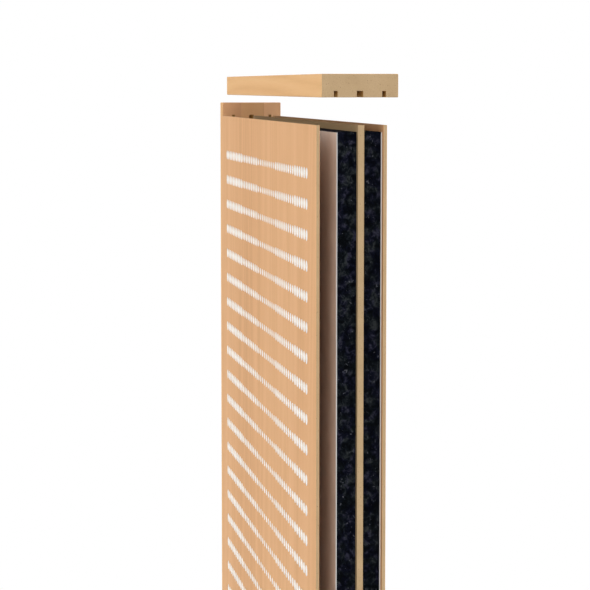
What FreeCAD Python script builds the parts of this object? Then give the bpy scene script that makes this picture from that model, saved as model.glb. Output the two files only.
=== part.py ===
# Freestanding office partition, partly taken apart. A wooden plinth on two flat steel feet carries
# a sandwich of centre board, felt absorbers, fleeces and two perforated panels with glued backings.
# The end post is slid away along its slots, the top cap is lifted, and the front panel is pulled
# forward off its seat.
import FreeCAD
import Part

import math
import os

# Driving dimensions in millimetres. X runs along the partition with the open end at +X,
# Y runs through it with the front at -Y, and Z is up from the floor.

# End post and top cap
frame_depth = 100.0
post_thickness = 30.0
cap_height = 30.0
clear_length = 880.0          # from one end post to the other when closed
board_ease = 0.8              # small bevel on the edges of the post and the cap
groove_play = 0.2             # room on each side of a panel in its groove
groove_head = 1.0             # how far the post's grooves run above the panels
end_play = 0.3                # room between pieces that meet end to end when closed

# Centre board and perforated panels
panel_height = 1548.0
panel_thickness = 4.5
centre_thickness = 8.0
tongue = 8.0                  # how far the panels reach into the grooves
small_hole = 10.0
medium_hole = 12.5
large_hole = 15.0
hole_pitch = 18.0             # from hole to hole along a row
row_pitch = 40.6
band_holes = 9                # holes of one size side by side
small_band_shift = 2          # pitches from the panel's middle to the middle of its small holes
least_end_margin = 58.0       # plain wood kept beside the holes
least_row_margin = 50.0       # plain wood kept above and below the holes

# Absorbers, fleeces and backings
cavity_depth = 25.2           # between the centre board and a perforated panel
backing_thickness = 0.25      # fleece glued behind the holes of a perforated panel
fleece_thickness = 1.5
fleece_drop = 1.0             # from the top of an absorber down to the top of its fleece
soft_play = 0.3

# How far the loose pieces stand off their seats
cap_lift = 43.4
post_pull = 53.0
panel_stand_off = 3.8         # from the post's face to a panel that is pulled out

# Plinth and battens
plinth_height = 30.0
plinth_lip = 22.0             # plinth in front of a panel that is pulled out
plinth_overhang = 7.0         # plinth beyond the post that is slid away
plinth_ease = 2.0
batten_height = 20.0
batten_play = 0.15

# Feet and pads
foot_length = 380.0
foot_width = 60.0
foot_thickness = 8.0
foot_corner = 12.0
foot_setback = 200.0          # from the end of the plinth to the middle of a foot
pad_diameter = 30.0
pad_thickness = 3.0
pad_inset = 24.0              # from the end of a foot to the middle of its pad
pad_ease = 0.6

# Countersunk wood screws
screw_diameter = 5.0
screw_head_diameter = 10.0
screw_socket = 3.0            # across the flats
screw_socket_depth = 1.6
screw_play = 0.15
foot_screw_length = 28.0
foot_screw_across = 32.0      # from screw to screw over a foot
foot_screw_along = 100.0      # from screw to screw along a foot
batten_screw_length = 38.0
batten_screw_count = 4
batten_screw_inset = 60.0

# Bolts that hold the end post
bolt_diameter = 8.0
bolt_play = 0.5               # round a bolt in the plinth
bolt_head_diameter = 14.0
bolt_head_height = 4.8
bolt_socket = 5.0             # across the flats
bolt_socket_depth = 2.8
bolt_reach = 18.0             # above the plinth's top
washer_diameter = 20.0
washer_thickness = 1.6
insert_diameter = 12.0
insert_length = 22.0
thread_play = 0.1

# Heights
plinth_low = pad_thickness + foot_thickness
plinth_top = plinth_low + plinth_height
batten_top = plinth_top + batten_height
panel_top = plinth_top + panel_height
groove_depth = tongue + end_play
cap_seat = panel_top - groove_depth
post_top = cap_seat + cap_height
filling_top = cap_seat - soft_play

# Distances along X, from the middle of the partition
clear_end = clear_length / 2
panel_end = clear_end + tongue
board_end = clear_end - end_play
filling_end = clear_end - 2 * end_play
bolt_seat = clear_end + post_thickness / 2
plinth_end = clear_end + post_pull + post_thickness + plinth_overhang
foot_middle = plinth_end - foot_setback

# Distances along Y, from the middle of the centre board
centre_face = centre_thickness / 2
panel_in = centre_face + cavity_depth
panel_out = panel_in + panel_thickness
fleece_out = panel_in - backing_thickness - soft_play
fleece_in = fleece_out - fleece_thickness
pulled_in = frame_depth / 2 + panel_stand_off
plinth_face = pulled_in + panel_thickness + plinth_lip
bolt_side = centre_face + cavity_depth / 2
sides = (-1, 1)


def vector(x, y, z):
    return FreeCAD.Vector(x, y, z)


def block(x_pair, y_pair, z_pair):
    low = [min(pair) for pair in (x_pair, y_pair, z_pair)]
    size = [abs(pair[1] - pair[0]) for pair in (x_pair, y_pair, z_pair)]
    return Part.makeBox(*size, vector(*low))


def eased_block(x_pair, y_pair, z_pair, ease):
    plain = block(x_pair, y_pair, z_pair)
    return plain.makeChamfer(ease, plain.Edges)


def rod(x, y, z_low, z_high, diameter):
    return Part.makeCylinder(diameter / 2, z_high - z_low, vector(x, y, z_low))


def hexagon_socket(x, y, z_mouth, up, across_flats, depth):
    corner = across_flats / math.sqrt(3)
    angles = [math.radians(60 * step) for step in range(7)]
    ring = [vector(x + corner * math.cos(a), y + corner * math.sin(a), z_mouth) for a in angles]
    return Part.Face(Part.makePolygon(ring)).extrude(vector(0, 0, up * depth))


def countersunk(x, y, z_face, up, length, play=0.0):
    # The outline of a countersunk screw whose head is level with z_face and whose tip points up
    # (up = 1) or down (up = -1). With some play it is the hole that the screw goes into.
    head = screw_head_diameter / 2 + play
    shank = screw_diameter / 2 + play
    cone_height = (screw_head_diameter - screw_diameter) / 2
    tip = vector(0, 0, up)
    cone = Part.makeCone(head, shank, cone_height, vector(x, y, z_face), tip)
    stem_start = vector(x, y, z_face + up * cone_height)
    stem = Part.makeCylinder(shank, length + play - cone_height, stem_start, tip)
    return cone.fuse(stem)


def screw(x, y, z_face, up, length):
    socket = hexagon_socket(x, y, z_face, up, screw_socket, screw_socket_depth)
    return countersunk(x, y, z_face, up, length).cut(socket)


def foot_screw_places(x_foot):
    return [
        (x_foot + x_side * foot_screw_across / 2, y_side * foot_screw_along / 2)
        for x_side in sides
        for y_side in sides
    ]


def batten_screw_places(y_side):
    first = batten_screw_inset - board_end
    step = -2 * first / (batten_screw_count - 1)
    return [(first + step * number, y_side * bolt_side) for number in range(batten_screw_count)]


def foot_screw_holes():
    return [
        countersunk(x, y, pad_thickness, 1, foot_screw_length, screw_play)
        for x_foot in (-foot_middle, foot_middle)
        for x, y in foot_screw_places(x_foot)
    ]


def batten_screw_holes():
    return [
        countersunk(x, y, batten_top, -1, batten_screw_length, screw_play)
        for y_side in sides
        for x, y in batten_screw_places(y_side)
    ]


def bolt_slot(y):
    # A round-ended slot through the plinth, from the bolt's seat to where the post is slid away.
    width = bolt_diameter + 2 * bolt_play
    heights = (plinth_low, plinth_top)
    ends = [rod(x, y, *heights, width) for x in (-bolt_seat, -bolt_seat - post_pull)]
    middle = block((-bolt_seat - post_pull, -bolt_seat), (y - width / 2, y + width / 2), heights)
    return middle.multiFuse(ends)


def plinth():
    board = eased_block(
        (-plinth_end, plinth_end), (-plinth_face, plinth_face), (plinth_low, plinth_top), plinth_ease
    )
    slots = [bolt_slot(y_side * bolt_side) for y_side in sides]
    width = bolt_diameter + 2 * bolt_play
    holes = [rod(bolt_seat, y_side * bolt_side, plinth_low, plinth_top, width) for y_side in sides]
    return board.cut(slots + holes + foot_screw_holes() + batten_screw_holes())


def foot(x_foot):
    bar = block(
        (x_foot - foot_width / 2, x_foot + foot_width / 2),
        (-foot_length / 2, foot_length / 2),
        (pad_thickness, plinth_low),
    )
    corners = [edge for edge in bar.Edges if edge.BoundBox.ZLength > foot_thickness / 2]
    return bar.makeFillet(foot_corner, corners).cut(foot_screw_holes())


def foot_pads():
    pads = []
    for x_foot in (-foot_middle, foot_middle):
        for y_side in sides:
            pad = rod(x_foot, y_side * (foot_length / 2 - pad_inset), 0, pad_thickness, pad_diameter)
            rim = [edge for edge in pad.Edges if edge.BoundBox.ZMax < pad_thickness / 2]
            pads.append(pad.makeChamfer(pad_ease, rim))
    return Part.makeCompound(pads)


def foot_screws():
    return Part.makeCompound([
        screw(x, y, pad_thickness, 1, foot_screw_length)
        for x_foot in (-foot_middle, foot_middle)
        for x, y in foot_screw_places(x_foot)
    ])


def batten(y_side):
    bar = block(
        (-board_end, board_end),
        (y_side * (centre_face + batten_play), y_side * (panel_in - batten_play)),
        (plinth_top, batten_top),
    )
    return bar.cut(batten_screw_holes())


def batten_screws():
    return Part.makeCompound([
        screw(x, y, batten_top, -1, batten_screw_length)
        for y_side in sides
        for x, y in batten_screw_places(y_side)
    ])


def centre_board():
    return block((-panel_end, panel_end), (-centre_face, centre_face), (plinth_top, panel_top))


def absorber(y_side):
    depth = (y_side * centre_face, y_side * fleece_in)
    return block((-filling_end, filling_end), depth, (batten_top, filling_top))


def fleece(y_side):
    depth = (y_side * fleece_in, y_side * fleece_out)
    return block((-filling_end, filling_end), depth, (batten_top, filling_top - fleece_drop))


def rectangle(x_low, x_high, y, z_low, z_high):
    corners = [(x_low, z_low), (x_high, z_low), (x_high, z_high), (x_low, z_high), (x_low, z_low)]
    return Part.makePolygon([vector(x, y, z) for x, z in corners])


def fitting_count(length, margin, width, pitch):
    # How many holes of a width fit on a length at a pitch, with a plain margin at both ends.
    return int((length - 2 * margin - width) / pitch) + 1


def hole_diameter(number, hole_count):
    # The holes of a row grow in bands of one size, away from the small ones near its middle.
    sizes = (small_hole, medium_hole, large_hole)
    steps = abs(number - (hole_count - 1) / 2 - small_band_shift)
    band = round(steps / band_holes)
    return sizes[min(band, len(sizes) - 1)]


def perforated_panel(y_low):
    # The panel is cut in rows. Each row is one strip of its face with a line of holes, and the
    # strips meet midway between the rows.
    row_count = fitting_count(panel_height, least_row_margin, large_hole, row_pitch)
    hole_count = fitting_count(2 * panel_end, least_end_margin, large_hole, hole_pitch)
    first_x = -hole_pitch * (hole_count - 1) / 2
    first_z = plinth_top + panel_height / 2 - row_pitch * (row_count - 1) / 2
    through = vector(0, 1, 0)
    strips = []
    for row in range(row_count):
        z = first_z + row * row_pitch
        z_low = plinth_top if row == 0 else z - row_pitch / 2
        z_high = panel_top if row == row_count - 1 else z + row_pitch / 2
        outlines = [rectangle(-panel_end, panel_end, y_low, z_low, z_high)]
        for number in range(hole_count):
            middle = vector(first_x + number * hole_pitch, y_low, z)
            rim = Part.Circle(middle, through, hole_diameter(number, hole_count) / 2)
            outlines.append(Part.Wire(rim.toShape()))
        strips.append(Part.Face(outlines))
    face = Part.makeShell(strips)
    face.sewShape()
    blocks = face.extrude(panel_thickness * through).Solids
    skin = [side for strip in blocks for side in strip.Faces if not is_seam(side)]
    return Part.makeSolid(Part.makeShell(skin))


def is_seam(side):
    # The level faces that run the whole length of the panel, apart from its foot and its top, are
    # where two strips meet inside the wood.
    box = side.BoundBox
    whole_length = box.XLength > 2 * clear_end
    level = box.ZLength < panel_thickness / 100
    inside = plinth_top + large_hole < box.ZMin < panel_top - large_hole
    return whole_length and level and inside


def panel_backing(y_side, panel_face):
    # It stays inside the frame and above the batten, so that the panel's rim is free for the grooves.
    depth = (y_side * panel_face, y_side * (panel_face - backing_thickness))
    return block((-filling_end, filling_end), depth, (batten_top + soft_play, filling_top))


def groove_pairs():
    # The two faces of each groove that takes the centre board or a perforated panel.
    outer = (panel_in - groove_play, panel_out + groove_play)
    middle = (-centre_face - groove_play, centre_face + groove_play)
    return [tuple(-edge for edge in outer), middle, outer]


def end_post():
    inner = -clear_end - post_pull
    board = eased_block(
        (inner - post_thickness, inner),
        (-frame_depth / 2, frame_depth / 2),
        (plinth_top, post_top),
        board_ease,
    )
    groove_heights = (plinth_top, panel_top + groove_head)
    grooves = [block((inner - groove_depth, inner), pair, groove_heights) for pair in groove_pairs()]
    holes = [
        rod(-bolt_seat - post_pull, y_side * bolt_side, plinth_top, plinth_top + insert_length,
            insert_diameter + 2 * thread_play)
        for y_side in sides
    ]
    return board.cut(grooves + holes)


def post_inserts():
    heights = (plinth_top, plinth_top + insert_length)
    sleeves = []
    for y_side in sides:
        place = (-bolt_seat - post_pull, y_side * bolt_side)
        thread = rod(*place, *heights, bolt_diameter + 2 * thread_play)
        sleeves.append(rod(*place, *heights, insert_diameter).cut(thread))
    return Part.makeCompound(sleeves)


def post_bolts():
    head_high = plinth_low - washer_thickness
    head_low = head_high - bolt_head_height
    bolts = []
    for y_side in sides:
        place = (-bolt_seat - post_pull, y_side * bolt_side)
        head = rod(*place, head_low, head_high, bolt_head_diameter)
        stem = rod(*place, head_high, plinth_top + bolt_reach, bolt_diameter)
        socket = hexagon_socket(*place, head_low, 1, bolt_socket, bolt_socket_depth)
        bolts.append(head.fuse(stem).cut(socket))
    return Part.makeCompound(bolts)


def post_washers():
    heights = (plinth_low - washer_thickness, plinth_low)
    rings = []
    for y_side in sides:
        place = (-bolt_seat - post_pull, y_side * bolt_side)
        hole = rod(*place, *heights, bolt_diameter + 2 * thread_play)
        rings.append(rod(*place, *heights, washer_diameter).cut(hole))
    return Part.makeCompound(rings)


def top_cap():
    underside = cap_seat + cap_lift
    board = eased_block(
        (-board_end, board_end),
        (-frame_depth / 2, frame_depth / 2),
        (underside, underside + cap_height),
        board_ease,
    )
    heights = (underside, underside + groove_depth)
    grooves = [block((-board_end, board_end), pair, heights) for pair in groove_pairs()]
    return board.cut(grooves)


nodes = {
    "left_foot": foot(-foot_middle),
    "right_foot": foot(foot_middle),
    "foot_pads": foot_pads(),
    "foot_screws": foot_screws(),
    "plinth": plinth(),
    "front_batten": batten(-1),
    "rear_batten": batten(1),
    "batten_screws": batten_screws(),
    "centre_board": centre_board(),
    "front_absorber": absorber(-1),
    "rear_absorber": absorber(1),
    "front_fleece": fleece(-1),
    "rear_fleece": fleece(1),
    "front_panel": perforated_panel(-pulled_in - panel_thickness),
    "rear_panel": perforated_panel(panel_in),
    "front_backing": panel_backing(-1, pulled_in),
    "rear_backing": panel_backing(1, panel_in),
    "end_post": end_post(),
    "post_inserts": post_inserts(),
    "post_bolts": post_bolts(),
    "post_washers": post_washers(),
    "top_cap": top_cap(),
}

# Straight edges need no second copy of themselves on each face, which keeps the files small.
Part.setStaticValue("write.surfacecurve.mode", 0)
os.makedirs("parts", exist_ok=True)
for name, shape in nodes.items():
    shape.exportStep("parts/" + name + ".step")
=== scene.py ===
import math

import bmesh
import bpy
from mathutils import Euler, Matrix, Vector, noise


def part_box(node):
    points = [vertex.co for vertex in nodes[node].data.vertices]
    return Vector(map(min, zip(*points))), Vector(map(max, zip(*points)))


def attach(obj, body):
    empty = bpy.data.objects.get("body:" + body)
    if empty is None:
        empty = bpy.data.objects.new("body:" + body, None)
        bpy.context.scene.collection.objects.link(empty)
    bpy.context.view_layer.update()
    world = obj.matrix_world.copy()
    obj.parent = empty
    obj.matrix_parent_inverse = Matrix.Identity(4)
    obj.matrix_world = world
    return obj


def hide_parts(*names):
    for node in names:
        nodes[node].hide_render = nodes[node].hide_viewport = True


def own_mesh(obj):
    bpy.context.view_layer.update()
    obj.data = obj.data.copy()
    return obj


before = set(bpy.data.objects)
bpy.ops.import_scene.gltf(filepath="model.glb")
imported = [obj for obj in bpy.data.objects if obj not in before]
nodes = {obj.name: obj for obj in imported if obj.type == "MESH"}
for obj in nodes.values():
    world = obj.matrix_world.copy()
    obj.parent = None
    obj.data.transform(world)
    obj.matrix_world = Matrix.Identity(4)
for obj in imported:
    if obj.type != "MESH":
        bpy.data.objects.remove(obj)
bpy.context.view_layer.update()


# Cross feet: two flat steel bars with rounded corners, coated with a fine matt powder.
# They are screwed up into the plinth and keep the tall, thin partition from tipping.
coat_black = (0.022, 0.022, 0.024)
coat_scuffed = (0.05, 0.05, 0.053)


class Wire:
    """One output of a material's nodes. Arithmetic on it adds Math nodes."""

    def __init__(self, tree, socket=None):
        self.tree = tree
        self.socket = socket

    def node(self, kind, settings, inputs, output=0):
        """Adds a node: its settings first, then the values or links of its sockets."""
        made = self.tree.nodes.new(kind)
        for name, value in settings.items():
            if name == "stops":
                ramp = made.color_ramp.elements
                while len(ramp) < len(value):
                    ramp.new(0.5)
                for element, (position, colour) in zip(ramp, value):
                    element.position = position
                    element.color = (*colour, 1.0)
            else:
                setattr(made, name, value)
        for name, value in inputs.items():
            if isinstance(value, Wire):
                self.tree.links.new(value.socket, made.inputs[name])
            else:
                made.inputs[name].default_value = value
        return Wire(self.tree, made.outputs[output] if made.outputs else None)

    def maths(self, operation, first, second):
        return self.node("ShaderNodeMath", {"operation": operation}, {0: first, 1: second})

    def __add__(self, other):
        return self.maths("ADD", self, other)

    __radd__ = __add__

    def __mul__(self, other):
        return self.maths("MULTIPLY", self, other)

    __rmul__ = __mul__

    def __sub__(self, other):
        return self.maths("SUBTRACT", self, other)

    def __rsub__(self, other):
        return self.maths("SUBTRACT", other, self)

    def __gt__(self, limit):
        return self.maths("GREATER_THAN", self, limit)

    def __lt__(self, limit):
        return self.maths("LESS_THAN", self, limit)

    def __or__(self, other):
        return self.maths("MAXIMUM", self, other)

    def __abs__(self):
        return self.maths("ABSOLUTE", self, 0.0)

    def axis(self, letter):
        return self.node("ShaderNodeSeparateXYZ", {}, {0: self}, letter)

    def facing(self, letter):
        """How far the surface faces along an axis: 1 straight along it, -1 straight against it."""
        return self.node("ShaderNodeNewGeometry", {}, {}, "Normal").axis(letter)

    def scaled(self, x, y, z):
        return self.node("ShaderNodeMapping", {}, {"Vector": self, "Scale": (x, y, z)})

    def noise(self, detail=2.0, roughness=0.5, distortion=0.0, scale=1.0):
        inputs = {"Vector": self, "Scale": scale, "Detail": detail}
        inputs.update({"Roughness": roughness, "Distortion": distortion})
        return self.node("ShaderNodeTexNoise", {}, inputs)

    def between(self, low, high):
        """A soft step from 0 at the low value to 1 at the high one."""
        inputs = {"Value": self, "From Min": low, "From Max": high}
        return self.node("ShaderNodeMapRange", {"interpolation_type": "SMOOTHSTEP"}, inputs)

    def mix(self, *colours):
        """The first colour where this is 0 and the second where it is 1."""
        zero, one = [(*colour, 1.0) if isinstance(colour, tuple) else colour for colour in colours]
        # A Mix node names its sockets alike for numbers and for colours, so these go by number.
        return self.node("ShaderNodeMix", {"data_type": "RGBA"}, {0: self, 6: zero, 7: one}, 2)

    def ramp(self, *stops):
        return self.node("ShaderNodeValToRGB", {"stops": stops}, {0: self})


def new_finish(name):
    """An empty material and the Object coordinates that its nodes start from."""
    finish = bpy.data.materials.new(name)
    finish.use_nodes = True
    finish.node_tree.nodes.clear()
    return finish, Wire(finish.node_tree).node("ShaderNodeTexCoord", {}, {}, "Object")


def complete(finish, sockets, height, depth):
    """Ends a material in a Principled shader. Height is bumped to a depth in metres."""
    bump = height.node("ShaderNodeBump", {}, {"Height": height, "Distance": depth})
    shader = height.node("ShaderNodeBsdfPrincipled", {}, {**sockets, "Normal": bump})
    height.node("ShaderNodeOutputMaterial", {}, {"Surface": shader})
    return finish


def dress(finish, *names):
    """Gives a finish to pieces that keep the shape they have in the frame."""
    for name in names:
        nodes[name].data.materials.clear()
        nodes[name].data.materials.append(finish)


def powder_coat():
    finish, place = new_finish("powder_coat")
    grain = place.noise(scale=1600.0, detail=3.0)
    scuff = place.scaled(60.0, 9.0, 60.0).noise(detail=5.0, roughness=0.7)
    tone = 0.6 * grain + 0.4 * scuff
    colour = tone.ramp((0.3, coat_black), (0.75, coat_scuffed))
    sockets = {"Base Color": colour, "Roughness": 0.46 + 0.2 * scuff, "Specular IOR Level": 0.4}
    return complete(finish, sockets, grain, depth=0.00012)


dress(powder_coat(), "left_foot", "right_foot")


# Pads: moulded rubber discs stuck under the ends of the feet, dull and a little dusty.
# They keep the feet from slipping and from scratching the floor.
rubber_black = (0.012, 0.012, 0.012)
rubber_dusty = (0.05, 0.048, 0.045)


def pad_rubber():
    finish, place = new_finish("pad_rubber")
    dust = place.noise(scale=220.0, detail=5.0, roughness=0.65)
    colour = dust.ramp((0.35, rubber_black), (0.8, rubber_dusty))
    sockets = {"Base Color": colour, "Roughness": 0.72 + 0.2 * dust}
    return complete(finish, sockets, dust, depth=0.0002)


dress(pad_rubber(), "foot_pads")


# Screws, bolts and washers: zinc-plated steel, turned and tumbled, with hexagon sockets.
# The threaded inserts that the bolts go into, in the post's foot, are turned brass.
def plated_metal(name, bright, dull):
    finish, place = new_finish(name)
    turning = place.scaled(300.0, 300.0, 2400.0).noise(detail=2.0)
    stain = place.noise(scale=170.0, detail=4.0)
    colour = (0.5 * turning + 0.5 * stain).ramp((0.3, dull), (0.7, bright))
    sockets = {"Base Color": colour, "Roughness": 0.26 + 0.2 * stain, "Metallic": 1.0}
    return complete(finish, sockets, turning, depth=0.00006)


zinc = plated_metal("zinc_plate", bright=(0.66, 0.66, 0.63), dull=(0.46, 0.46, 0.45))
brass = plated_metal("turned_brass", bright=(0.78, 0.57, 0.26), dull=(0.6, 0.41, 0.16))
dress(zinc, "foot_screws", "batten_screws", "post_bolts", "post_washers")
dress(brass, "post_inserts")


# Plinth: a veneered board that every upright piece stands on, with its grain lengthwise.
# The core is fibreboard, painted darker and browner as shade where it is slotted and drilled
# for the post's bolts.
cut_margin = 0.004       # a wall this far inside a board's outer faces is the wall of a cut
square_on = 0.5          # the share of a normal along an axis, past which a face looks along it
frame_tones = ((0.69, 0.373, 0.151), (0.8, 0.47, 0.207), (0.85, 0.528, 0.252))
fibre_dark = (0.424, 0.291, 0.155)
fibre_pale = (0.535, 0.378, 0.22)
fibre_speck = (0.27, 0.17, 0.085)
milled_painted_shade = (0.5, 0.28, 0.08)


def fibreboard(place):
    """Colour and fibres of bare fibreboard: pale, pressed, with a few dark specks."""
    fibres = place.noise(scale=900.0, detail=4.0, roughness=0.7)
    cloud = place.noise(scale=35.0, detail=3.0)
    specks = place.noise(scale=650.0, detail=1.0).between(0.68, 0.76)
    plain = (0.6 * fibres + 0.4 * cloud).ramp((0.3, fibre_dark), (0.7, fibre_pale))
    return specks.mix(plain, fibre_speck), fibres


def veneer(place, along, dark, middle, light):
    """Colour and pores of sliced veneer. Along has a 1 for the axis that the grain follows."""

    def stretched(across, lengthwise):
        return place.scaled(*[lengthwise if axis else across for axis in along])

    leaf = stretched(6.0, 0.3).noise(detail=2.0)
    rings = stretched(24.0, 0.8).noise(detail=3.0, roughness=0.55, distortion=0.9)
    streaks = stretched(170.0, 2.0).noise(detail=4.0, roughness=0.6)
    fibres = stretched(1300.0, 22.0).noise(detail=2.0)
    # Slicing leaves pointed arches in the leaf, drawn here as the level lines of a long, slow noise.
    figure = stretched(7.0, 0.45).noise(detail=1.0, distortion=0.2)
    flame = figure.maths("PINGPONG", 14 * figure, 0.5)
    tone = 0.35 * leaf + 0.33 * rings + 0.09 * streaks + 0.13 * fibres + 0.2 * flame
    plain = tone.ramp((0.36, dark), (0.5, middle), (0.64, light))
    mineral = stretched(85.0, 2.6).noise(detail=1.0).between(0.69, 0.76)
    flecks = stretched(1500.0, 190.0).noise(detail=1.0).between(0.62, 0.7)
    marks = 0.35 * mineral + 0.3 * flecks
    return marks.mix(plain, dark), fibres - 0.6 * flecks


def frame_veneer(name, along, milled, sawn=None, leaves=None):
    """Veneer on a board. The core shows bare where sawn(place) is 1 and, painted darker and browner
    as shade, where milled(place) is 1; leaves(place, skin) lays the veneer in leaves and paints their
    shade."""
    finish, place = new_finish(name)
    skin, pores = veneer(place, along, *frame_tones)
    if leaves:
        skin = leaves(place, skin)
    core, fibres = fibreboard(place)
    groove = milled(place)
    # Painted shade: the core in the slots and grooves is darkened and browned.
    core = groove.mix(core, milled_painted_shade)
    bare = groove | sawn(place) if sawn else groove
    sockets = {
        "Base Color": bare.mix(skin, core),
        "Roughness": 0.6 + 0.25 * bare,
        "Specular IOR Level": 0.14,
    }
    return complete(finish, sockets, (1 - bare) * pores + bare * fibres, depth=0.0001)


def plinth_slots(place):
    """1 on the upright walls of the slots and holes."""
    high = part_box("plinth")[1]
    in_length = abs(place.axis("X")) < high.x - cut_margin
    in_width = abs(place.axis("Y")) < high.y - cut_margin
    return in_length * in_width * (abs(place.facing("Z")) < square_on)


dress(frame_veneer("plinth_veneer", (1, 0, 0), plinth_slots), "plinth")


# Battens and centre board: bare fibreboard. The battens are screwed down on the plinth, one on
# each side of the centre board, which stands between them as the spine of the sandwich. The sanded
# faces of the boards are painted darker than their cut edges, as the shade in the narrow channels
# where they stand.
face_painted_shade = (0.29, 0.2, 0.1)


def bare_fibreboard():
    finish, place = new_finish("bare_fibreboard")
    cut, fibres = fibreboard(place)
    # Painted shade: the broad faces of the boards are darkened.
    face_shade = 0.75 * (abs(place.facing("Y")) > square_on)
    colour = face_shade.mix(cut, face_painted_shade)
    sockets = {"Base Color": colour, "Roughness": 0.85, "Specular IOR Level": 0.15}
    return complete(finish, sockets, fibres, depth=0.00015)


dress(bare_fibreboard(), "front_batten", "rear_batten", "centre_board")


# Absorbers: two slabs of black felt pressed from mottled textile fibre. They stand on the
# battens against the centre board and are cut a tongue's length short of the boards. The front
# one has swollen out, because its panel is pulled off, and the panel presses it flat again.
slab_edge = 0.0008       # rounding of the slab's edges
slab_step = 0.006        # size of the small faces at the slab's ends
slab_cuts = 6            # small faces in from each end
torn_depth = 0.0009      # of the hollows between clumps, in the slab's ends
torn_reach = 0.018       # from an end to where the hollows have faded out
torn_scale = 85.0        # clumps to a metre
torn_layers = (0.8, 2.1, 4)    # falloff, step in scale and number of the layers of noise
front_swell = 0.0018
rear_swell = 0.0004      # its panel is shut and leaves it little room
corner_angle = math.radians(35)
felt_stops = (0.42, 0.52, 0.63)
blue_tones = ((0.001, 0.0014, 0.0036), (0.0038, 0.0048, 0.0115), (0.027, 0.027, 0.045))
grey_tones = ((0.0012, 0.0018, 0.0026), (0.0045, 0.0065, 0.009), (0.026, 0.03, 0.032))
lint_grey = (0.085, 0.088, 0.105)


def felt():
    finish, place = new_finish("felt")
    clumps = place.noise(scale=115.0, detail=3.0, roughness=0.6, distortion=0.4)
    tufts = place.noise(scale=420.0, detail=4.0, roughness=0.7)
    lint = place.noise(scale=230.0, detail=1.0, distortion=1.0).between(0.71, 0.76)
    dyes = place.noise(scale=55.0, detail=2.0).between(0.42, 0.58)
    tone = 0.75 * clumps + 0.25 * tufts
    blue = tone.ramp(*zip(felt_stops, blue_tones))
    grey = tone.ramp(*zip(felt_stops, grey_tones))
    colour = (0.8 * lint).mix(dyes.mix(blue, grey), lint_grey)
    sockets = {"Base Color": colour, "Roughness": 0.95, "Specular IOR Level": 0.04}
    return complete(finish, sockets, 0.6 * clumps + tufts, depth=0.0014)


def new_object(name, data):
    made = bpy.data.objects.new(name, data)
    bpy.context.scene.collection.objects.link(made)
    return made


def new_piece(name, mesh, finish):
    """An object of a finished mesh, shaded smooth apart from its corners."""
    for edge in mesh.edges:
        edge.smooth = edge.calc_face_angle(0.0) < corner_angle
    for face in mesh.faces:
        face.smooth = True
    data = bpy.data.meshes.new(name)
    mesh.to_mesh(data)
    mesh.free()
    data.materials.append(finish)
    return new_object(name, data)


def filling(low, high):
    """The transform that makes a unit cube fill a box."""
    return Matrix.Translation((low + high) / 2) @ Matrix.Diagonal((*(high - low), 1.0))


def edge_run(edge):
    """How far an edge reaches along each axis."""
    run = edge.verts[0].co - edge.verts[1].co
    return Vector((abs(run.x), abs(run.y), abs(run.z)))


def tear_ends(mesh, low, high):
    """Sinks the ends of a slab between its clumps, where the knife has torn the felt."""
    middle = (low.x + high.x) / 2
    for vertex in mesh.verts:
        from_end = min(vertex.co.x - low.x, high.x - vertex.co.x)
        near_end = max(0.0, 1.0 - from_end / torn_reach)
        clumps = noise.fractal(vertex.co * torn_scale, *torn_layers)
        hollow = max(0.0, min(1.0, clumps * 0.5 + 0.5))
        inwards = math.copysign(1.0, middle - vertex.co.x)
        vertex.co.x += inwards * torn_depth * near_end * hollow


def felt_slab(node, finish, swell):
    low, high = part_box(node)
    low.y -= max(0.0, -swell)
    high.y += max(0.0, swell)
    size = high - low
    mesh = bmesh.new()
    bmesh.ops.create_cube(mesh, size=1.0, matrix=filling(low, high))
    bmesh.ops.bevel(mesh, geom=mesh.edges[:], offset=slab_edge, affect="EDGES", segments=2, profile=0.5,
                    material=-1)
    upright = [edge for edge in mesh.edges if edge_run(edge).z > size.z / 2]
    bmesh.ops.subdivide_edges(mesh, edges=upright, cuts=int(size.z / slab_step))
    across = [edge for edge in mesh.edges if edge_run(edge).y > size.y / 2]
    bmesh.ops.subdivide_edges(mesh, edges=across, cuts=int(size.y / slab_step) + 1)
    for number in range(1, slab_cuts + 1):
        for x in (low.x + number * slab_step, high.x - number * slab_step):
            bmesh.ops.bisect_plane(mesh, geom=mesh.verts[:] + mesh.edges[:] + mesh.faces[:],
                                   plane_co=(x, 0, 0), plane_no=(1, 0, 0))
    tear_ends(mesh, low, high)
    slab = new_piece(node + "_felt", mesh, finish)
    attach(slab, "base")
    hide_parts(node)
    return slab


def pressed_by_panel(piece):
    """Gives a swollen piece a mesh of its own."""
    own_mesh(piece)


black_felt = felt()
pressed_by_panel(felt_slab("front_absorber", black_felt, -front_swell))
felt_slab("rear_absorber", black_felt, rear_swell)


# Fleeces: thin sheets of non-woven fleece laid on the outer face of each absorber, so that no
# lint comes out through the holes. Their faces are painted beige, as the warm light bounced onto
# them from the brown boards around them, and their cut edges a pale grey.
fleece_step = 0.012
fleece_thickness = 0.0011
fleece_wave = 0.00015    # in and out, over the whole sheet
wave_scale = 7.0
wave_layers = (1.0, 2.0, 2)
fleece_waver = 0.0004    # up and down, along the cut at the top
waver_scale = 30.0
fleece_bounce_dark = (0.66, 0.545, 0.46)
fleece_bounce_pale = (0.8, 0.68, 0.595)
fleece_cut = (0.6, 0.605, 0.61)


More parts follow.
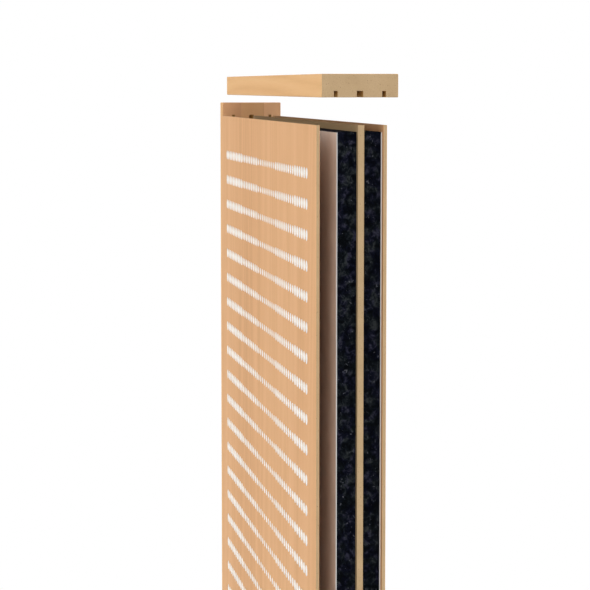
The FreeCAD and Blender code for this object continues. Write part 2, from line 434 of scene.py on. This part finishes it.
def bounce_tinted_fleece():
    finish, place = new_finish("bounce_tinted_fleece")
    fibres = place.noise(scale=420.0, detail=5.0, roughness=0.75, distortion=1.6)
    cloud = place.noise(scale=26.0, detail=3.0)
    # Painted light: the faces are tinted beige for the warm bounced light; the cut edges keep a pale grey.
    face = (0.5 * fibres + 0.5 * cloud).ramp((0.3, fleece_bounce_dark), (0.7, fleece_bounce_pale))
    cut = abs(place.facing("Y")) < square_on
    colour = cut.mix(face, fleece_cut)
    sockets = {"Base Color": colour, "Roughness": 0.95, "Specular IOR Level": 0.1}
    return complete(finish, sockets, fibres, depth=0.0004)


def standing_at(place):
    """The transform that stands a flat shape up, with its width along the partition."""
    return Matrix.Translation(place) @ Euler((math.pi / 2, 0, 0)).to_matrix().to_4x4()


def mesh_middle(mesh):
    """The mean place of a mesh's vertices."""
    total = Vector((0, 0, 0))
    for vertex in mesh.verts:
        total += vertex.co
    return total / len(mesh.verts)


def fleece_sheet(node, finish, swell):
    low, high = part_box(node)
    size = high - low
    middle = (low + high) / 2 + Vector((0, swell, 0))
    cut_size = Matrix.Diagonal((size.x, size.z, 1.0, 1.0))
    mesh = bmesh.new()
    bmesh.ops.create_grid(mesh, x_segments=int(size.x / fleece_step), y_segments=int(size.z / fleece_step),
                          size=0.5, matrix=standing_at(middle) @ cut_size)
    for vertex in mesh.verts:
        vertex.co.y += fleece_wave * noise.fractal(vertex.co * wave_scale, *wave_layers)
        if vertex.co.z > middle.z:
            vertex.co.z -= fleece_waver * max(0.0, noise.noise(vertex.co * waver_scale))
    bmesh.ops.recalc_face_normals(mesh, faces=mesh.faces[:])
    bmesh.ops.solidify(mesh, geom=mesh.faces[:], thickness=fleece_thickness)
    bmesh.ops.translate(mesh, verts=mesh.verts[:], vec=(0, middle.y - mesh_middle(mesh).y, 0))
    sheet = new_piece(node + "_sheet", mesh, finish)
    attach(sheet, "base")
    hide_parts(node)
    return sheet


fleece = bounce_tinted_fleece()
pressed_by_panel(fleece_sheet("front_fleece", fleece, -front_swell))
fleece_sheet("rear_fleece", fleece, rear_swell)


# Perforated panels: thin boards veneered on both faces, with rows of round holes that let sound
# through to the felt. The grain stands upright, the holes are sealed white, and the rim is bare.
# The inner face is painted darker, as the shade in the channel behind the panel.
hole_sizes = (0.01, 0.0125, 0.015)
hole_sides = 24
hole_pitch = 0.018
holes_in_row = 43
band_holes = 9           # holes of one size side by side
small_band_shift = 2     # holes from the middle of a row to the middle of its small ones
hole_rows = 36
row_pitch = 0.0406
unpierced_rim = 0.05     # no hole reaches into this rim
strip_weld = 0.00001     # corners of two strips that lie this near are joined
veneer_skin = 0.0004     # thickness of the veneer, seen at sawn edges
panel_tones = ((0.655, 0.348, 0.158), (0.733, 0.406, 0.193), (0.785, 0.45, 0.225))
inner_painted_shade = (0.47, 0.26, 0.123)
hole_white = (0.92, 0.905, 0.875)


def panel_veneer(name, node, outwards):
    finish, place = new_finish(name)
    z = place.axis("Z")
    through = place.facing("Y")
    low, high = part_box(node)
    middle = (low.y + high.y) / 2
    core_half = (high.y - low.y) / 2 - veneer_skin
    skin, pores = veneer(place, (0, 0, 1), *panel_tones)
    # Painted shade: the inner face is darkened towards a deeper brown.
    skin = (0.8 * (through * outwards < -square_on)).mix(skin, inner_painted_shade)
    inside, fibres = fibreboard(place)
    edge = abs(through) < square_on
    bare = edge * (abs(place.axis("Y") - middle) < core_half)
    in_length = abs(place.axis("X")) < high.x - unpierced_rim
    in_height = (z > low.z + unpierced_rim) * (z < high.z - unpierced_rim)
    hole_wall = edge * in_length * in_height
    sockets = {
        "Base Color": hole_wall.mix(bare.mix(skin, inside), hole_white),
        "Roughness": 0.62 + 0.23 * edge,
        "Specular IOR Level": 0.12,
    }
    return complete(finish, sockets, (1 - bare) * pores + bare * fibres, depth=0.00008)


def hole_radius(number):
    """The holes of a row grow in bands of one size, away from the small ones near its middle."""
    steps = abs(number - (holes_in_row - 1) / 2 - small_band_shift)
    band = min(len(hole_sizes) - 1, round(steps / band_holes))
    return hole_sizes[band] / 2


def pierced_sheet(low, high):
    """A flat sheet as wide and high as a panel: a strip with one row of holes is repeated for
    every row, and the outer edges of the lowest and highest strips go to the panel's ends."""
    middle = (low + high) / 2
    first_row = standing_at((middle.x, low.y, middle.z - row_pitch * (hole_rows - 1) / 2))
    strip = Matrix.Diagonal((high.x - low.x, row_pitch, 1.0, 1.0))
    mesh = bmesh.new()
    bmesh.ops.create_grid(mesh, x_segments=1, y_segments=1, size=0.5, matrix=first_row @ strip)
    bmesh.ops.delete(mesh, geom=mesh.faces[:], context="FACES_ONLY")
    for number in range(holes_in_row):
        along = Matrix.Translation((hole_pitch * (number - (holes_in_row - 1) / 2), 0, 0))
        bmesh.ops.create_circle(mesh, segments=hole_sides, radius=hole_radius(number),
                                matrix=first_row @ along)
    bmesh.ops.triangle_fill(mesh, use_beauty=True, edges=mesh.edges[:], normal=(0, -1, 0))
    bmesh.ops.spin(mesh, geom=mesh.verts[:] + mesh.edges[:] + mesh.faces[:], angle=0.0, axis=(0, 0, 1),
                   dvec=(0, 0, row_pitch), steps=hole_rows - 1, use_duplicate=True)
    field = row_pitch * hole_rows / 2
    for vertex in mesh.verts:
        if abs(vertex.co.z - middle.z) > field - hole_sizes[0] / 2:
            vertex.co.z = high.z if vertex.co.z > middle.z else low.z
    bmesh.ops.remove_doubles(mesh, verts=mesh.verts[:], dist=strip_weld)
    return mesh


def perforated_panel(node, body, outwards):
    low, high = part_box(node)
    mesh = pierced_sheet(low, high)
    raised = bmesh.ops.extrude_face_region(mesh, geom=mesh.faces[:])["geom"]
    verts = [item for item in raised if isinstance(item, bmesh.types.BMVert)]
    bmesh.ops.translate(mesh, verts=verts, vec=(0, high.y - low.y, 0))
    bmesh.ops.recalc_face_normals(mesh, faces=mesh.faces[:])
    panel = new_piece(node + "_board", mesh, panel_veneer(node + "_veneer", node, outwards))
    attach(panel, body)
    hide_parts(node)


perforated_panel("front_panel", "front_leaf", outwards=-1.0)
perforated_panel("rear_panel", "rear_leaf", outwards=1.0)


# Backings: thin fleece glued behind the holes, so that nothing shows through them. The face towards
# the holes is white, and the other is faced with brown paper.
backing_step = 0.02
white_shaded = (0.72, 0.71, 0.685)
white_bright = (0.82, 0.81, 0.785)
paper_dark = (0.8, 0.5, 0.29)
paper_pale = (0.88, 0.57, 0.34)


def faced_fleece(name, outwards):
    finish, place = new_finish(name)
    fibres = place.noise(scale=520.0, detail=4.0, roughness=0.7, distortion=1.2)
    pulp = place.scaled(260.0, 260.0, 60.0).noise(detail=3.0)
    white = fibres.ramp((0.3, white_shaded), (0.7, white_bright))
    brown = pulp.ramp((0.35, paper_dark), (0.65, paper_pale))
    colour = (place.facing("Y") * outwards > square_on).mix(brown, white)
    sockets = {"Base Color": colour, "Roughness": 0.9, "Specular IOR Level": 0.1}
    return complete(finish, sockets, fibres, depth=0.0001)


def glued_backing(node, body, outwards):
    low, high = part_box(node)
    mesh = bmesh.new()
    bmesh.ops.create_cube(mesh, size=1.0, matrix=filling(low, high))
    for axis in (Vector((1, 0, 0)), Vector((0, 0, 1))):
        runs = [edge for edge in mesh.edges if edge_run(edge).dot(axis) > 2 * backing_step]
        cuts = int(axis.dot(high - low) / backing_step)
        bmesh.ops.subdivide_edges(mesh, edges=runs, cuts=cuts, use_grid_fill=True)
    backing = new_piece(node + "_fleece", mesh, faced_fleece(node + "_fleece", outwards))
    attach(backing, body)
    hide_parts(node)


glued_backing("front_backing", "front_leaf", outwards=-1.0)
glued_backing("rear_backing", "rear_leaf", outwards=1.0)


# End post: a veneered board with upright grain. Three grooves in its inner face take the tongues
# of the boards, and two bolts hold its foot in the slots of the plinth.
post_lip = 0.001         # of veneer colour at the mouth of a groove
leaf_joints = (-0.018, 0.021)
joint_half = 0.0006      # half of the width of the dark joint
leaf_shade_and_joint_tone = (0.575, 0.285, 0.15)
pale_leaf = (0.79, 0.447, 0.248)


def post_grooves(place):
    """1 on the walls and floors of the grooves in the inner face."""
    x = place.axis("X")
    low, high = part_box("end_post")
    in_depth = (x > low.x + cut_margin) * (x < high.x - post_lip)
    in_width = abs(place.axis("Y")) < high.y - cut_margin
    below_top = place.axis("Z") < high.z - cut_margin
    return in_depth * in_width * below_top * (place.facing("X") > -square_on)


def post_leaves_and_shade(place, skin):
    """The veneer of the inner face is laid in three leaves: the left two are painted darker and more red,
    as shade, and the right one is paler.
    """
    y = place.axis("Y")
    inner = place.facing("X") > square_on
    first, second = leaf_joints
    left = y < first
    middle = (y > first) * (y < second)
    right = y > second
    joint = abs(y - second) < joint_half
    # Painted shade: the left and middle leaves of the inner face are darkened, the left one most; the
    # joint is a real dark glue line.
    leaves_shade_and_joint = (inner * (0.75 * left + 0.5 * middle + 0.4 * joint)).mix(skin, leaf_shade_and_joint_tone)
    return (0.8 * inner * right).mix(leaves_shade_and_joint, pale_leaf)


dress(frame_veneer("post_veneer", (0, 0, 1), post_grooves, leaves=post_leaves_and_shade), "end_post")


# Top cap: a veneered board with lengthwise grain that closes the sandwich. Three grooves in its
# underside drop over the boards, and its sawn ends show the core between the veneers.
cap_lip = 0.0005         # of veneer colour at the mouth of a groove


def cap_grooves(place):
    """1 on the walls and floors of the grooves in the underside."""
    z = place.axis("Z")
    low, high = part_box("top_cap")
    in_depth = (z > low.z + cap_lip) * (z < high.z - cut_margin)
    in_width = abs(place.axis("Y")) < high.y - cut_margin
    return in_depth * in_width * (abs(place.facing("X")) < square_on)


def cap_ends(place):
    """1 on the core in the sawn ends."""
    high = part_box("top_cap")[1]
    in_width = abs(place.axis("Y")) < high.y - veneer_skin
    below_skin = place.axis("Z") < high.z - veneer_skin
    return in_width * below_skin * (abs(place.facing("X")) > square_on)


dress(frame_veneer("cap_veneer", (1, 0, 0), cap_grooves, sawn=cap_ends), "top_cap")


# Stage: a pale floor that is white away from the object, a white surround, a soft light from
# beside the camera, one high in front, one behind, and the camera at the photograph's place.
floor_radius = 30.0
floor_grey = (0.72, 0.72, 0.72, 1.0)
pure_white = (1.0, 1.0, 1.0, 1.0)
white_from = 1.4         # from under the object to where the floor begins to turn white
white_beyond = 3.2       # and to where it is all white
lens_length = 129.49
sensor_width = 36.0
camera_place = (3.10673, -0.53915, 1.63822)
camera_dip = 5.6161      # degrees down from level
camera_swing = 9.6818    # degrees from straight along the partition


def seen_directly(start):
    """1 for rays from the camera, off gloss or through glass, and 0 for light on the object."""
    camera, glossy, through = [
        start.node("ShaderNodeLightPath", {}, {}, kind)
        for kind in ("Is Camera Ray", "Is Glossy Ray", "Is Transmission Ray")
    ]
    return camera | glossy | through


def pale_floor():
    finish, place = new_finish("pale_floor")
    distance = place.node("ShaderNodeVectorMath", {"operation": "LENGTH"}, {0: place}, "Value")
    whitens = distance.between(white_from, white_beyond) * seen_directly(place)
    paint = place.node("ShaderNodeBsdfDiffuse", {}, {"Color": floor_grey})
    white = place.node("ShaderNodeEmission", {}, {"Color": pure_white, "Strength": 1.0})
    blend = place.node("ShaderNodeMixShader", {}, {0: whitens, 1: paint, 2: white})
    place.node("ShaderNodeOutputMaterial", {}, {"Surface": blend})
    return finish


def surround(strength):
    """White to the camera all round, and a fill light of a strength on the object."""
    world = bpy.data.worlds.new("white_surround")
    world.use_nodes = True
    world.node_tree.nodes.clear()
    seen = seen_directly(Wire(world.node_tree))
    level = seen * (1.0 - strength) + strength
    shade = seen.node("ShaderNodeBackground", {}, {"Color": pure_white, "Strength": level})
    seen.node("ShaderNodeOutputWorld", {}, {"Surface": shade})
    bpy.context.scene.world = world


def soft_sun(name, level, azimuth, elevation, spread):
    """A broad distant light. Level 1 shows a white surface that faces it as white."""
    lamp = bpy.data.lights.new(name, "SUN")
    lamp.energy = level * math.pi
    lamp.angle = math.radians(spread)
    sun = new_object(name, lamp)
    sun.rotation_euler = Euler((math.radians(90 - elevation), 0, math.radians(azimuth)))


disc = bmesh.new()
bmesh.ops.create_circle(disc, cap_ends=True, segments=64, radius=floor_radius)
floor = new_piece("floor", disc, pale_floor())
# The floor shows shadows but casts none, because half of the low light comes from under it.
floor.visible_shadow = False

surround(strength=0.12)
soft_sun("end_light", level=0.605, azimuth=74.0, elevation=-2.0, spread=44.0)
soft_sun("front_light", level=0.635, azimuth=-12.0, elevation=40.0, spread=80.0)
soft_sun("rear_light", level=0.36, azimuth=155.0, elevation=24.0, spread=50.0)

lens = bpy.data.cameras.new("camera")
lens.sensor_width = sensor_width
lens.lens = lens_length
camera = new_object("camera", lens)
camera.location = camera_place
camera.rotation_euler = Euler((math.radians(90 - camera_dip), 0, math.radians(90 - camera_swing)))
bpy.context.scene.camera = camera
bpy.context.scene.view_settings.view_transform = "Standard"
